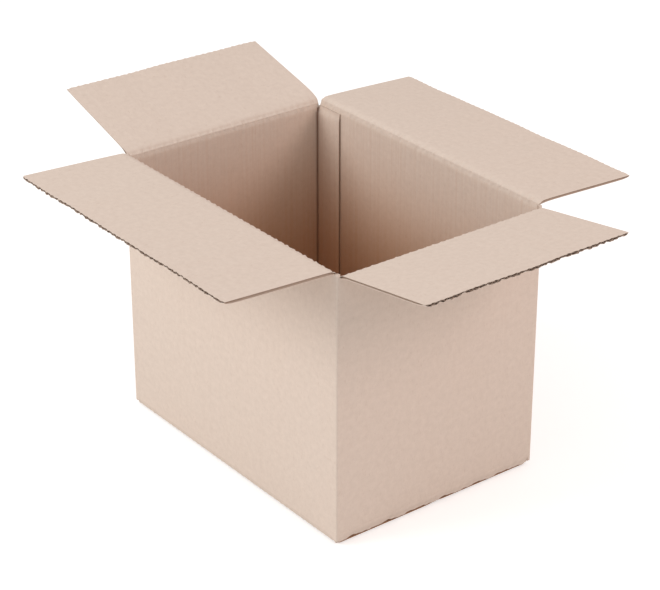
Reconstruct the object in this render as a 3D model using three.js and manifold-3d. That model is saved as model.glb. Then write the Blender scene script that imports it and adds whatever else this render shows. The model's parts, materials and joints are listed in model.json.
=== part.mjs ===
// Regular slotted carton of B-flute corrugated board, standing on its closed bottom with its top flaps open.
// Millimetres, +Z up. X runs along the long side walls, and the origin is the centre of the base.

import * as THREE from "three";
import { mergeVertices } from "three/addons/utils/BufferGeometryUtils.js";
import Module from "manifold-3d";

const wasm = await Module();
wasm.setup();

// Driving sizes of the carton
const INSIDE_LENGTH = 306;
const INSIDE_WIDTH = 216;
const PANEL_HEIGHT = 250;
const TOP_FLAP_DEPTH = 107;
const BOTTOM_SEAM = 2;

// Corrugated board: two flat liners glued to a wavy medium
const BOARD = 3;
const LINER = 0.3;
const MEDIUM = 0.28;
const FLUTE_PITCH = 6.5;
const SIDE_NOTCH = 1.4;

// Slots between neighbouring flaps: how far they reach past the inner corner, and how deep they are
const SLOT_REACH = 0.5;
const TOP_SLOT_DEPTH = 0.6;
const JOINT_SLOT_DEPTH = 3;
const BOTTOM_SLOT_REST = 2;

// Creases: folded corners are round outside, and the flap creases are crushed thin from the inside
const FOLD_RADIUS = 2.4;
const CRUSHED_THICKNESS = 1.2;
const CRUSHED_BAND = 1.3;
const CRUSH_RAMP = 2.5;

// Running clearances
const LAYER_GAP = 0.2;
const PIVOT_OFFSET = 0.12;
const CREASE_GAP = 0.12;

// Glue tab: turned in from the left wall and glued inside the back wall
const TAB_WIDTH = 32;
const TAB_SLANT = 1;
const TAB_CLEARANCE = 0.4;

// How far each top flap stands open, from upright, in degrees
const FRONT_OPEN = 87;
const RIGHT_OPEN = 81.5;
const LEFT_OPEN = 73.2;
const BACK_OPEN = 92.2;

// Where the corners of a flute's channel lie, as shares of the pitch from its middle
const CHANNEL_FOOT = 0.42;
const CHANNEL_FLANK = 0.25;
const CHANNEL_CROWN = 0.1;

const ARC_STEPS = 4;
const BEYOND = 1;
const MERGE_DISTANCE = 1e-4;

// Sizes that follow
const SLOT_SETBACK = BOARD + SLOT_REACH;
const LENGTH = INSIDE_LENGTH + 2 * BOARD;
const WIDTH = INSIDE_WIDTH + 2 * BOARD;
const LAYER = BOARD + LAYER_GAP;
const MINOR_CREASE = LAYER + PANEL_HEIGHT;
const MAJOR_CREASE = MINOR_CREASE + LAYER;
const BOTTOM_FLAP_DEPTH = (WIDTH - BOTTOM_SEAM) / 2;
const INNER_FLOOR = LAYER + BOARD;
const RING_BOTTOM = LAYER + FOLD_RADIUS + BOARD;
const BEVEL_START = PIVOT_OFFSET + CREASE_GAP;
const ROOT_LENGTH = BEVEL_START + CRUSHED_THICKNESS + CRUSHED_BAND + CRUSH_RAMP;

const KRAFT = new THREE.Color("#d9c3b0");
const KRAFT_ROUGHNESS = 0.95;

const UP = new THREE.Vector3(0, 0, 1);

// The long walls carry the major flaps, which close over the minor flaps of the short walls
const MAJOR = { face: WIDTH / 2, run: LENGTH, crease: MAJOR_CREASE, foot: 0 };
const MINOR = { face: LENGTH / 2, run: WIDTH, crease: MINOR_CREASE, foot: LAYER };
const SIDES = [
  { name: "front", outward: [0, -1, 0], open: FRONT_OPEN, ...MAJOR },
  { name: "back", outward: [0, 1, 0], open: BACK_OPEN, ...MAJOR },
  { name: "right", outward: [1, 0, 0], open: RIGHT_OPEN, ...MINOR },
  { name: "left", outward: [-1, 0, 0], open: LEFT_OPEN, ...MINOR },
];

// The four corners in plan, and whether it is the one where the blank's ends are glued
const CORNERS = [
  [-1, -1, false],
  [1, -1, false],
  [1, 1, false],
  [-1, 1, true],
];

/** Turns a closed three.js geometry into a solid that can be cut and joined. */
function toSolid(geometry) {
  const bare = geometry.clone();
  bare.deleteAttribute("normal");
  bare.deleteAttribute("uv");
  const merged = mergeVertices(bare, MERGE_DISTANCE);
  return new wasm.Manifold(new wasm.Mesh({
    numProp: 3,
    vertProperties: new Float32Array(merged.attributes.position.array),
    triVerts: new Uint32Array(merged.index.array),
  }));
}

/** Turns a finished solid back into a three.js geometry. */
function toGeometry(solid) {
  const mesh = solid.getMesh();
  const geometry = new THREE.BufferGeometry();
  geometry.setAttribute("position", new THREE.BufferAttribute(new Float32Array(mesh.vertProperties), 3));
  geometry.setIndex(new THREE.BufferAttribute(new Uint32Array(mesh.triVerts), 1));
  geometry.computeVertexNormals();
  return geometry;
}

/** Axes of a wall: x points outward, y up and z along the wall, from a point on its outer face. */
function wallFrame(side, height) {
  const outward = new THREE.Vector3(...side.outward);
  const along = new THREE.Vector3().crossVectors(outward, UP);
  const frame = new THREE.Matrix4().makeBasis(outward, UP, along);
  return frame.setPosition(outward.clone().multiplyScalar(side.face).setZ(height));
}

/** Extrudes an outline in the wall's outward and up directions, centred along the wall. */
function extrudeOnWall(side, height, outline, run) {
  const settings = { depth: run, bevelEnabled: false, curveSegments: ARC_STEPS };
  const geometry = new THREE.ExtrudeGeometry(outline, settings);
  geometry.translate(0, 0, -run / 2);
  return toSolid(geometry.applyMatrix4(wallFrame(side, height)));
}

/** A box between two corners. */
function boxBetween(low, high) {
  const size = high.map((value, axis) => value - low[axis]);
  const middle = high.map((value, axis) => (value + low[axis]) / 2);
  return toSolid(new THREE.BoxGeometry(...size).translate(...middle));
}

/** Plan of the folded walls: three round folds, and the back wall's raw end over the glue tab's fold. */
function wallPlan() {
  const x = LENGTH / 2;
  const y = WIDTH / 2;
  const r = FOLD_RADIUS;
  const plan = new THREE.Shape();
  plan.moveTo(-x + r, -y);
  plan.lineTo(x - r, -y);
  plan.absarc(x - r, -y + r, r, -Math.PI / 2, 0);
  plan.lineTo(x, y - r);
  plan.absarc(x - r, y - r, r, 0, Math.PI / 2);
  plan.lineTo(-x, y);
  plan.lineTo(-x, y - BOARD);
  plan.lineTo(-x + r, y - BOARD);
  plan.absarc(-x + r, y - BOARD - r, r, Math.PI / 2, Math.PI);
  plan.lineTo(-x, -y + r);
  plan.absarc(-x + r, -y + r, r, Math.PI, Math.PI * 1.5);
  const inner = new THREE.Path();
  const ix = INSIDE_LENGTH / 2;
  const iy = INSIDE_WIDTH / 2;
  inner.moveTo(-ix, -iy);
  inner.lineTo(-ix, iy);
  inner.lineTo(ix, iy);
  inner.lineTo(ix, -iy);
  inner.closePath();
  plan.holes.push(inner);
  return plan;
}

/** The four walls as a tube between two heights. */
function wallTube(bottom, top) {
  const geometry = new THREE.ExtrudeGeometry(wallPlan(), {
    depth: top - bottom,
    bevelEnabled: false,
    curveSegments: ARC_STEPS,
  });
  return toSolid(geometry.translate(0, 0, bottom));
}

/** One square corner of the plan that the slots cut free, between two heights. */
function cornerBlock(sx, sy, bottom, top) {
  const near = [sx * (LENGTH / 2 - SLOT_SETBACK), sy * (WIDTH / 2 - SLOT_SETBACK)];
  const far = [sx * (LENGTH / 2 + BEYOND), sy * (WIDTH / 2 + BEYOND)];
  const low = [Math.min(near[0], far[0]), Math.min(near[1], far[1]), bottom];
  const high = [Math.max(near[0], far[0]), Math.max(near[1], far[1]), top];
  return boxBetween(low, high);
}

/** The four corners between a top height and a bottom height that may differ at the glued corner. */
function cornerBlocks(bottom, jointBottom, top) {
  const blocks = CORNERS.map(([sx, sy, glued]) => cornerBlock(sx, sy, glued ? jointBottom : bottom, top));
  return wasm.Manifold.union(blocks);
}

/** What is taken off a wall's top: a bevel at the crease, the crushed band under it and all above. */
function crestCut(side) {
  const shape = new THREE.Shape();
  const bandTop = -BEVEL_START - CRUSHED_THICKNESS;
  shape.moveTo(BEYOND, -BEVEL_START + BEYOND);
  shape.lineTo(BEYOND, LAYER + BOARD);
  shape.lineTo(-BOARD - BEYOND, LAYER + BOARD);
  shape.lineTo(-BOARD - BEYOND, -ROOT_LENGTH - BEYOND * CRUSH_RAMP / (BOARD - CRUSHED_THICKNESS));
  shape.lineTo(-CRUSHED_THICKNESS, bandTop - CRUSHED_BAND);
  shape.lineTo(-CRUSHED_THICKNESS, bandTop);
  return extrudeOnWall(side, side.crease, shape, side.run - 2 * SLOT_SETBACK);
}

/** A wall's foot and the bottom flap that is folded in from it, with a round outer fold. */
function bottomFlap(side) {
  const shape = new THREE.Shape();
  const top = RING_BOTTOM + BEYOND - side.foot;
  shape.moveTo(0, top);
  shape.lineTo(-BOARD, top);
  shape.lineTo(-BOARD, BOARD);
  shape.lineTo(-BOTTOM_FLAP_DEPTH, BOARD);
  shape.lineTo(-BOTTOM_FLAP_DEPTH, 0);
  shape.lineTo(-FOLD_RADIUS, 0);
  shape.absarc(-FOLD_RADIUS, FOLD_RADIUS, FOLD_RADIUS, -Math.PI / 2, 0);
  return extrudeOnWall(side, side.foot, shape, side.run - 2 * SLOT_SETBACK);
}

/** The glue tab on the back wall's inner face, with slanted ends that keep clear of the inner flaps. */
function glueTab() {
  const low = INNER_FLOOR + TAB_CLEARANCE;
  const high = MINOR_CREASE - PIVOT_OFFSET - BOARD - TAB_CLEARANCE;
  const shape = new THREE.Shape();
  shape.moveTo(-BEYOND, low);
  shape.lineTo(TAB_WIDTH, low + TAB_SLANT);
  shape.lineTo(TAB_WIDTH, high - TAB_SLANT);
  shape.lineTo(-BEYOND, high);
  const geometry = new THREE.ExtrudeGeometry(shape, { depth: BOARD + BEYOND, bevelEnabled: false });
  geometry.rotateX(Math.PI / 2);
  return toSolid(geometry.translate(-INSIDE_LENGTH / 2, INSIDE_WIDTH / 2 + BEYOND, 0));
}

/** The blank folded and glued into a tube with a closed bottom: walls, corner folds, bottom flaps and tab. */
function cartonBody() {
  const crests = SIDES.map(crestCut);
  const slots = cornerBlocks(
    MINOR_CREASE - TOP_SLOT_DEPTH,
    MINOR_CREASE - JOINT_SLOT_DEPTH,
    MAJOR_CREASE + BEYOND,
  );
  const tube = wallTube(RING_BOTTOM, MAJOR_CREASE).subtract(wasm.Manifold.union(crests)).subtract(slots);
  const posts = wallTube(BOTTOM_SLOT_REST, RING_BOTTOM + BEYOND)
    .intersect(cornerBlocks(0, 0, RING_BOTTOM + 2 * BEYOND));
  return wasm.Manifold.union([tube, posts, glueTab(), ...SIDES.map(bottomFlap)]);
}

/** Height of the medium's centre line above the outer face, at a distance from a channel's middle. */
function waveHeight(distance) {
  const reach = BOARD / 2 - LINER - MEDIUM / 2;
  return BOARD / 2 + reach * Math.cos((2 * Math.PI * distance) / FLUTE_PITCH);
}

/** Section of one flute channel between a liner and the medium, as a six-sided outline. */
function channelSection(upper) {
  const half = [
    [CHANNEL_FOOT * FLUTE_PITCH, LINER],
    [CHANNEL_FLANK * FLUTE_PITCH, waveHeight(CHANNEL_FLANK * FLUTE_PITCH) - MEDIUM / Math.SQRT2],
    [CHANNEL_CROWN * FLUTE_PITCH, waveHeight(CHANNEL_CROWN * FLUTE_PITCH) - MEDIUM / 2],
  ];
  const mirrored = half.map(([x, y]) => [-x, y]).reverse();
  return new THREE.Shape([...half, ...mirrored].map(([x, y]) => new THREE.Vector2(x, upper ? BOARD - y : y)));
}

/** Section of the half flute that a slot cuts open along a flap's side. */
function sideNotchSection() {
  return new THREE.Shape([
    new THREE.Vector2(-SIDE_NOTCH, LINER),
    new THREE.Vector2(SIDE_NOTCH, LINER),
    new THREE.Vector2(SIDE_NOTCH, BOARD - LINER),
    new THREE.Vector2(-SIDE_NOTCH, BOARD - LINER),
  ]);
}

/** Runs a section of the board's thickness along a flap, from its crushed root out past its free edge. */
function alongFlutes(section, place) {
  const depth = TOP_FLAP_DEPTH - ROOT_LENGTH + BEYOND;
  const geometry = new THREE.ExtrudeGeometry(section, { depth, bevelEnabled: false });
  const turn = new THREE.Matrix4().makeBasis(
    new THREE.Vector3(0, 0, 1),
    new THREE.Vector3(-1, 0, 0),
    new THREE.Vector3(0, -1, 0),
  );
  return toSolid(geometry.applyMatrix4(turn).translate(-PIVOT_OFFSET, TOP_FLAP_DEPTH + BEYOND, place));
}

/** The open flutes of a flap: a whole number across its width, with an open half flute at each side. */
function fluteChannels(width) {
  const channels = [-1, 1].map((end) => alongFlutes(sideNotchSection(), (end * width) / 2));
  const flutes = Math.floor((width - 2 * SIDE_NOTCH - 2 * MEDIUM) / FLUTE_PITCH);
  const start = (-flutes * FLUTE_PITCH) / 2;
  for (let flute = 0; flute < flutes; flute += 1) {
    channels.push(alongFlutes(channelSection(false), start + (flute + 0.5) * FLUTE_PITCH));
    if (flute > 0) {
      channels.push(alongFlutes(channelSection(true), start + flute * FLUTE_PITCH));
    }
  }
  return wasm.Manifold.union(channels);
}

/** A top flap standing upright on its hinge line: outer face towards +x, height along +y, width along z. */
function topFlap(side) {
  const width = side.run - 2 * SLOT_SETBACK;
  const bandEnd = BEVEL_START + CRUSHED_THICKNESS + CRUSHED_BAND;
  const shape = new THREE.Shape();
  shape.moveTo(0, BEVEL_START);
  shape.lineTo(0, TOP_FLAP_DEPTH);
  shape.lineTo(-BOARD, TOP_FLAP_DEPTH);
  shape.lineTo(-BOARD, ROOT_LENGTH);
  shape.lineTo(-CRUSHED_THICKNESS, bandEnd);
  shape.lineTo(-CRUSHED_THICKNESS, BEVEL_START + CRUSHED_THICKNESS);
  const geometry = new THREE.ExtrudeGeometry(shape, { depth: width, bevelEnabled: false });
  geometry.translate(-PIVOT_OFFSET, 0, -width / 2);
  return toSolid(geometry).subtract(fluteChannels(width));
}

/** A named mesh in kraft board. */
function kraftMesh(name, solid) {
  const material = new THREE.MeshStandardMaterial({ color: KRAFT, roughness: KRAFT_ROUGHNESS, metalness: 0 });
  const mesh = new THREE.Mesh(toGeometry(solid), material);
  mesh.name = name;
  return mesh;
}

/** A top flap hung on its crease and opened to where it stands. */
function hungFlap(side) {
  const hinge = new THREE.Group();
  hinge.applyMatrix4(wallFrame({ ...side, face: side.face + PIVOT_OFFSET }, side.crease));
  const flap = kraftMesh(`${side.name}_top_flap`, topFlap(side));
  flap.rotation.z = -THREE.MathUtils.degToRad(side.open);
  hinge.add(flap);
  return hinge;
}

const carton = new THREE.Group();
carton.add(kraftMesh("carton_body", cartonBody()));
for (const side of SIDES) {
  carton.add(hungFlap(side));
}

export default carton;
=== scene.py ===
"""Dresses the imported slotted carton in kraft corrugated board, for Blender 4.5, in metres."""

import json
import logging
import math
from dataclasses import dataclass, field
from enum import Enum

import bpy
import numpy as np
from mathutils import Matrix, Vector


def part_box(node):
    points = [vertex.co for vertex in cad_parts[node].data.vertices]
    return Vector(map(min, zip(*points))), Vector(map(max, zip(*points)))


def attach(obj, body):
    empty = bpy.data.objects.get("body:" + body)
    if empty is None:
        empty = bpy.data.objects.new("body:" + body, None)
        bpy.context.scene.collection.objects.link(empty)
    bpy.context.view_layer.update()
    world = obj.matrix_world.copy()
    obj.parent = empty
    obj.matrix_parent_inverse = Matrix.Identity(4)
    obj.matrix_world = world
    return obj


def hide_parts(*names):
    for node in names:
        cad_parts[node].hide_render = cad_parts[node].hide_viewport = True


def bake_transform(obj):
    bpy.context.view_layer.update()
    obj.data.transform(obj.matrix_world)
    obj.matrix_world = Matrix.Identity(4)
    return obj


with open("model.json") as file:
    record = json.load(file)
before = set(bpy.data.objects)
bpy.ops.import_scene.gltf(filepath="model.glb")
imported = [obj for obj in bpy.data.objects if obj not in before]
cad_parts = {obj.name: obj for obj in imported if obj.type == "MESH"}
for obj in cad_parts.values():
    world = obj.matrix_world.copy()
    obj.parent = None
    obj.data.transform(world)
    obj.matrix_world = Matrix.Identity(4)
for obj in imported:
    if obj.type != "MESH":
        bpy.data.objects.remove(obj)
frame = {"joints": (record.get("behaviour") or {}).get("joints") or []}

log = logging.getLogger("carton")

MM = 0.001
UP = np.array([0.0, 0.0, 1.0])
RIGHT_ANGLE = 90.0
# The panels of the blank, in their order along the strip
PANELS = ("tab", "left", "front", "right", "back")
# The waves of an irregular curve: each one's share of the wavelength and its weight
WANDER_WAVES = ((1.0, 0.5), (0.61, 0.3), (0.37, 0.2))
WANDER_GAIN = 1.4
# Painted shade down inside the carton: how brown the inner liner is toned, and how far below the rim it is
# so in full
INSIDE_PAINTED_SHADE = 0.62
INSIDE_DEPTH = 165 * MM
# A Mix node's colour sockets by number: its factor, its two colours and its result
MIX_SHARE, MIX_FIRST, MIX_SECOND, MIX_RESULT = 0, 6, 7, 2
WHITE = "#ffffff"


def linear(code: str) -> tuple[float, float, float, float]:
    """Turns an sRGB hex colour into a linear one.

    Args:
        code: Six hex digits after a hash sign.

    Returns:
        Linear red, green, blue and an alpha of 1.
    """
    parts = [int(code[i:i + 2], 16) / 255 for i in (1, 3, 5)]
    return (*[p / 12.92 if p <= 0.04045 else ((p + 0.055) / 1.055) ** 2.4 for p in parts], 1.0)


def smooth(value: np.ndarray) -> np.ndarray:
    """Eases a value from 0 to 1 with flat ends."""
    t = np.clip(value, 0.0, 1.0)
    return t * t * (3.0 - 2.0 * t)


def wander(place: np.ndarray, wavelength: float, seed: int) -> np.ndarray:
    """Gives a smooth irregular curve between about -1 and 1.

    Args:
        place: Positions along the curve, in metres.
        wavelength: Typical length of one wave, in metres.
        seed: Number that picks the curve.

    Returns:
        The curve's value at each position.
    """
    rng = np.random.default_rng(seed)
    total = np.zeros_like(place, dtype=float)
    for share, weight in WANDER_WAVES:
        total += weight * np.sin(2 * math.pi * place / (wavelength * share) + rng.uniform(0, 2 * math.pi))
    return total * WANDER_GAIN


def hump(distance: np.ndarray, reach: float) -> np.ndarray:
    """Gives a rounded hump, 1 at no distance and nearly 0 past twice its reach."""
    return np.exp(-((distance / reach) ** 2))


def fade(distance: np.ndarray, reach: float) -> np.ndarray:
    """Gives a share that is 1 at no distance and fades over its reach."""
    return np.exp(-distance / reach)


def inside_painted_shade(depth: np.ndarray) -> np.ndarray:
    """Gives the painted shade that tones the inner liner brown at a depth below the rim, in metres."""
    return INSIDE_PAINTED_SHADE * smooth(np.maximum(depth, 0.0) / INSIDE_DEPTH)


@dataclass(frozen=True)
class Unevenness:
    """A smooth irregular change over a wall or a panel.

    Attributes:
        size: How large it is, up and down.
        wavelength: Typical length of one wave, in metres.
        seed: Number added to the wall's own, so that each change has its own curve.
    """

    size: float
    wavelength: float
    seed: int

    def at(self, place: np.ndarray, wall_seed: int) -> np.ndarray:
        """Gives the change at each place of a wall."""
        return self.size * wander(place, self.wavelength, wall_seed + self.seed)


class Fold(Enum):
    """Which way a panel is folded from its wall."""

    OUTWARD = "outward"
    INWARD = "inward"


@dataclass(frozen=True)
class Board:
    """B-flute corrugated board: two liners on a wavy medium.

    Sizes are in metres. A sink is how far a liner sags between the flute tips that it is glued to.
    """

    thickness: float = 3.0 * MM
    liner: float = 0.3 * MM
    medium: float = 0.28 * MM
    pitch: float = 6.5 * MM
    outer_sink: float = 0.015 * MM
    inner_sink: float = 0.05 * MM

    def wave(self, across: np.ndarray) -> np.ndarray:
        """Gives the medium's height as -1 at the outer liner to 1 at the inner one."""
        return np.cos(2 * math.pi * across / self.pitch)

    def stations(self, start: float, end: float, columns: int = 6) -> np.ndarray:
        """Spaces columns over a width so that each flute has the given number."""
        count = max(2, int(round(abs(end - start) / self.pitch * columns)) + 1)
        return np.linspace(start, end, count)


BOARD = Board()
# Each wall's paper starts this far along the strip, a whole number of flutes, so that no two look alike
WALL_SHIFT = 60 * BOARD.pitch


@dataclass
class Patch:
    """A stretch of board as a grid of rows along the flutes and columns across them.

    Attributes:
        face: Points of the outer face, rows by columns by 3.
        inward: Unit direction from the outer face to the inner one.
        depth: Board thickness at each point.
        across: Place of each column across the flutes, which sets the flutes' phase.
        along: Place of each point along the flutes.
        pale_wear_and_highlight: How pale each point is, part rubbed wear and part painted highlight on folds
            and creases, from 0 to 1.
        painted_shade: How much painted shade darkens each point, in the creases and fold corners, from 0 to
            1.
        rib_shade: How strong the flutes' painted shade is through the inner liner, from 0 to 1.
        deep: How much painted shade tones the inner liner brown down inside the carton, from 0 to 1.
    """

    face: np.ndarray
    inward: np.ndarray
    depth: np.ndarray
    across: np.ndarray
    along: np.ndarray
    pale_wear_and_highlight: np.ndarray
    painted_shade: np.ndarray
    rib_shade: np.ndarray
    deep: np.ndarray

    def level(self, share: np.ndarray | float, offset: np.ndarray | float = 0.0) -> np.ndarray:
        """Gives the points at a share of the thickness, plus an offset inward."""
        reach = self.depth * share + offset
        return self.face + self.inward * reach[..., None]

    def slabs(self, sheets: bool) -> list["Slab"]:
        """Splits the board into thin solids.

        Args:
            sheets: True for two liners and a medium, False for one solid slab.

        Returns:
            The slabs, outer one first.
        """
        wave = BOARD.wave(self.across)[None, :] * np.ones_like(self.depth)
        outer = self.level(0.0, BOARD.outer_sink * (0.5 + 0.5 * wave))
        inner = self.level(1.0, -BOARD.inner_sink * (0.5 - 0.5 * wave))
        if not sheets:
            return [Slab(outer, inner, is_liner=True, low_inside=False, high_inside=True)]
        middle = wave * np.maximum(self.depth / 2 - BOARD.liner - BOARD.medium / 2, 0.0)
        below, above = middle - BOARD.medium / 2, middle + BOARD.medium / 2
        return [
            Slab(outer, self.level(0.0, BOARD.liner), is_liner=True, low_inside=False, high_inside=True),
            Slab(self.level(1.0, -BOARD.liner), inner, is_liner=True, low_inside=True, high_inside=True),
            Slab(self.level(0.5, below), self.level(0.5, above), is_liner=False, low_inside=True,
                 high_inside=True),
        ]


@dataclass
class Slab:
    """A closed thin solid between two grids of points.

    Attributes:
        low: Grid nearer the board's outer face.
        high: Grid nearer its inner face.
        is_liner: True for liner paper, False for the medium.
        low_inside: True if the low face belongs to the board's inner side.
        high_inside: True if the high face does.
    """

    low: np.ndarray
    high: np.ndarray
    is_liner: bool
    low_inside: bool
    high_inside: bool


class MeshMaker:
    """Gathers slabs of board into one mesh with two material slots."""

    # How strong the flutes' painted shade is on a liner's outer side, next to its inner side
    OUTSIDE_RIBS = 0.12
    # Faces that meet at a wider angle than this have a sharp edge between them
    SHARP_ANGLE = math.radians(42)

    def __init__(self, name: str) -> None:
        """Starts an empty mesh.

        Args:
            name: Name of the piece.
        """
        self.name = name
        self.points: list[np.ndarray] = []
        self.coords: list[np.ndarray] = []
        self.marks: dict[str, list[np.ndarray]] = {"pale_wear_and_highlight": [], "painted_shade": [], "rib_shade": [], "deep": []}
        self.quads: list[np.ndarray] = []
        self.kinds: list[np.ndarray] = []
        self.count = 0

    def add(self, patch: Patch, sheets: bool) -> None:
        """Adds a patch, as sheets or as one slab."""
        for slab in patch.slabs(sheets):
            self._slab(patch, slab)

    def _slab(self, patch: Patch, slab: Slab) -> None:
        """Adds one slab's faces.

        Args:
            patch: Patch that the slab belongs to, for its coordinates and marks.
            slab: The slab.
        """
        low, high = slab.low, slab.high
        rows, cols = low.shape[:2]
        size = rows * cols
        index = np.arange(size).reshape(rows, cols) + self.count
        a, b, c, d = index[:-1, :-1], index[:-1, 1:], index[1:, 1:], index[1:, :-1]
        near = np.stack([a, b, c, d], -1).reshape(-1, 4)
        far = near[:, ::-1] + size
        loop = np.concatenate([index[0, :], index[1:, -1], index[-1, -2::-1], index[-2:0:-1, 0]])
        after = np.roll(loop, -1)
        rim = np.stack([after, loop, loop + size, after + size], -1)
        quads = np.concatenate([near, far, rim])
        step_across = low[0, 1] - low[0, 0]
        step_along = low[1, 0] - low[0, 0]
        if np.dot(np.cross(step_across, step_along), patch.inward[0, 0]) > 0:
            quads = quads[:, ::-1]
        self.kinds.append(np.full(len(quads), 0 if slab.is_liner else 1))
        self.quads.append(quads)
        self.points += [low.reshape(-1, 3), high.reshape(-1, 3)]
        across = np.broadcast_to(patch.across[None, :], (rows, cols))
        coords = np.stack([across, patch.along], -1).reshape(-1, 2)
        # The high face's paper lies a metre aside, so that the two faces don't share their spots
        self.coords += [coords, coords + [1.0, 0.0]]
        self.marks["pale_wear_and_highlight"] += [patch.pale_wear_and_highlight.ravel()] * 2
        # The flutes' painted shade is weaker on the outer side; the inside's and the creases' painted shade
        # go on the inner side only
        for inside in (slab.low_inside, slab.high_inside):
            self.marks["rib_shade"].append(patch.rib_shade.ravel() * (1.0 if inside else self.OUTSIDE_RIBS))
            self.marks["deep"].append(patch.deep.ravel() * inside)
            self.marks["painted_shade"].append(patch.painted_shade.ravel() * inside)
        self.count += 2 * size

    def build(self, materials: list[bpy.types.Material]) -> bpy.types.Object:
        """Makes the Blender object.

        Args:
            materials: The liner's material, then the medium's.

        Returns:
            The new object, linked to the scene.
        """
        points = np.concatenate(self.points)
        quads = np.concatenate(self.quads)
        coords = np.concatenate(self.coords)
        mesh = bpy.data.meshes.new(self.name)
        mesh.vertices.add(len(points))
        mesh.vertices.foreach_set("co", points.astype(np.float32).ravel())
        mesh.loops.add(quads.size)
        mesh.loops.foreach_set("vertex_index", quads.astype(np.int32).ravel())
        mesh.polygons.add(len(quads))
        mesh.polygons.foreach_set("loop_start", np.arange(0, quads.size, 4, dtype=np.int32))
        mesh.polygons.foreach_set("material_index", np.concatenate(self.kinds).astype(np.int32))
        mesh.update(calc_edges=True)
        layer = mesh.uv_layers.new(name="board")
        layer.data.foreach_set("uv", coords[quads.ravel()].astype(np.float32).ravel())
        for mark, values in self.marks.items():
            attribute = mesh.attributes.new(mark, "FLOAT", "POINT")
            attribute.data.foreach_set("value", np.concatenate(values).astype(np.float32))
        mesh.polygons.foreach_set("use_smooth", np.ones(len(quads), bool))
        mesh.set_sharp_from_angle(angle=self.SHARP_ANGLE)
        for material in materials:
            mesh.materials.append(material)
        piece = bpy.data.objects.new(self.name, mesh)
        bpy.context.scene.collection.objects.link(piece)
        log.info("%s: %d faces", self.name, len(quads))
        return piece


def add_node(tree: bpy.types.NodeTree, kind: str, settings: dict, links: dict) -> bpy.types.Node:
    """Adds a node with its settings and links.

    Args:
        tree: Node tree that gets the node.
        kind: Blender's name of the node's type.
        settings: Values of its properties, or of its sockets where a property has no such name.
        links: Input socket name or number to the output socket that feeds it.

    Returns:
        The new node.
    """
    node = tree.nodes.new(kind)
    for key, value in settings.items():
        if isinstance(key, str) and hasattr(node, key):
            setattr(node, key, value)
        else:
            node.inputs[key].default_value = value
    for key, source in links.items():
        tree.links.new(source, node.inputs[key])
    return node


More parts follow.
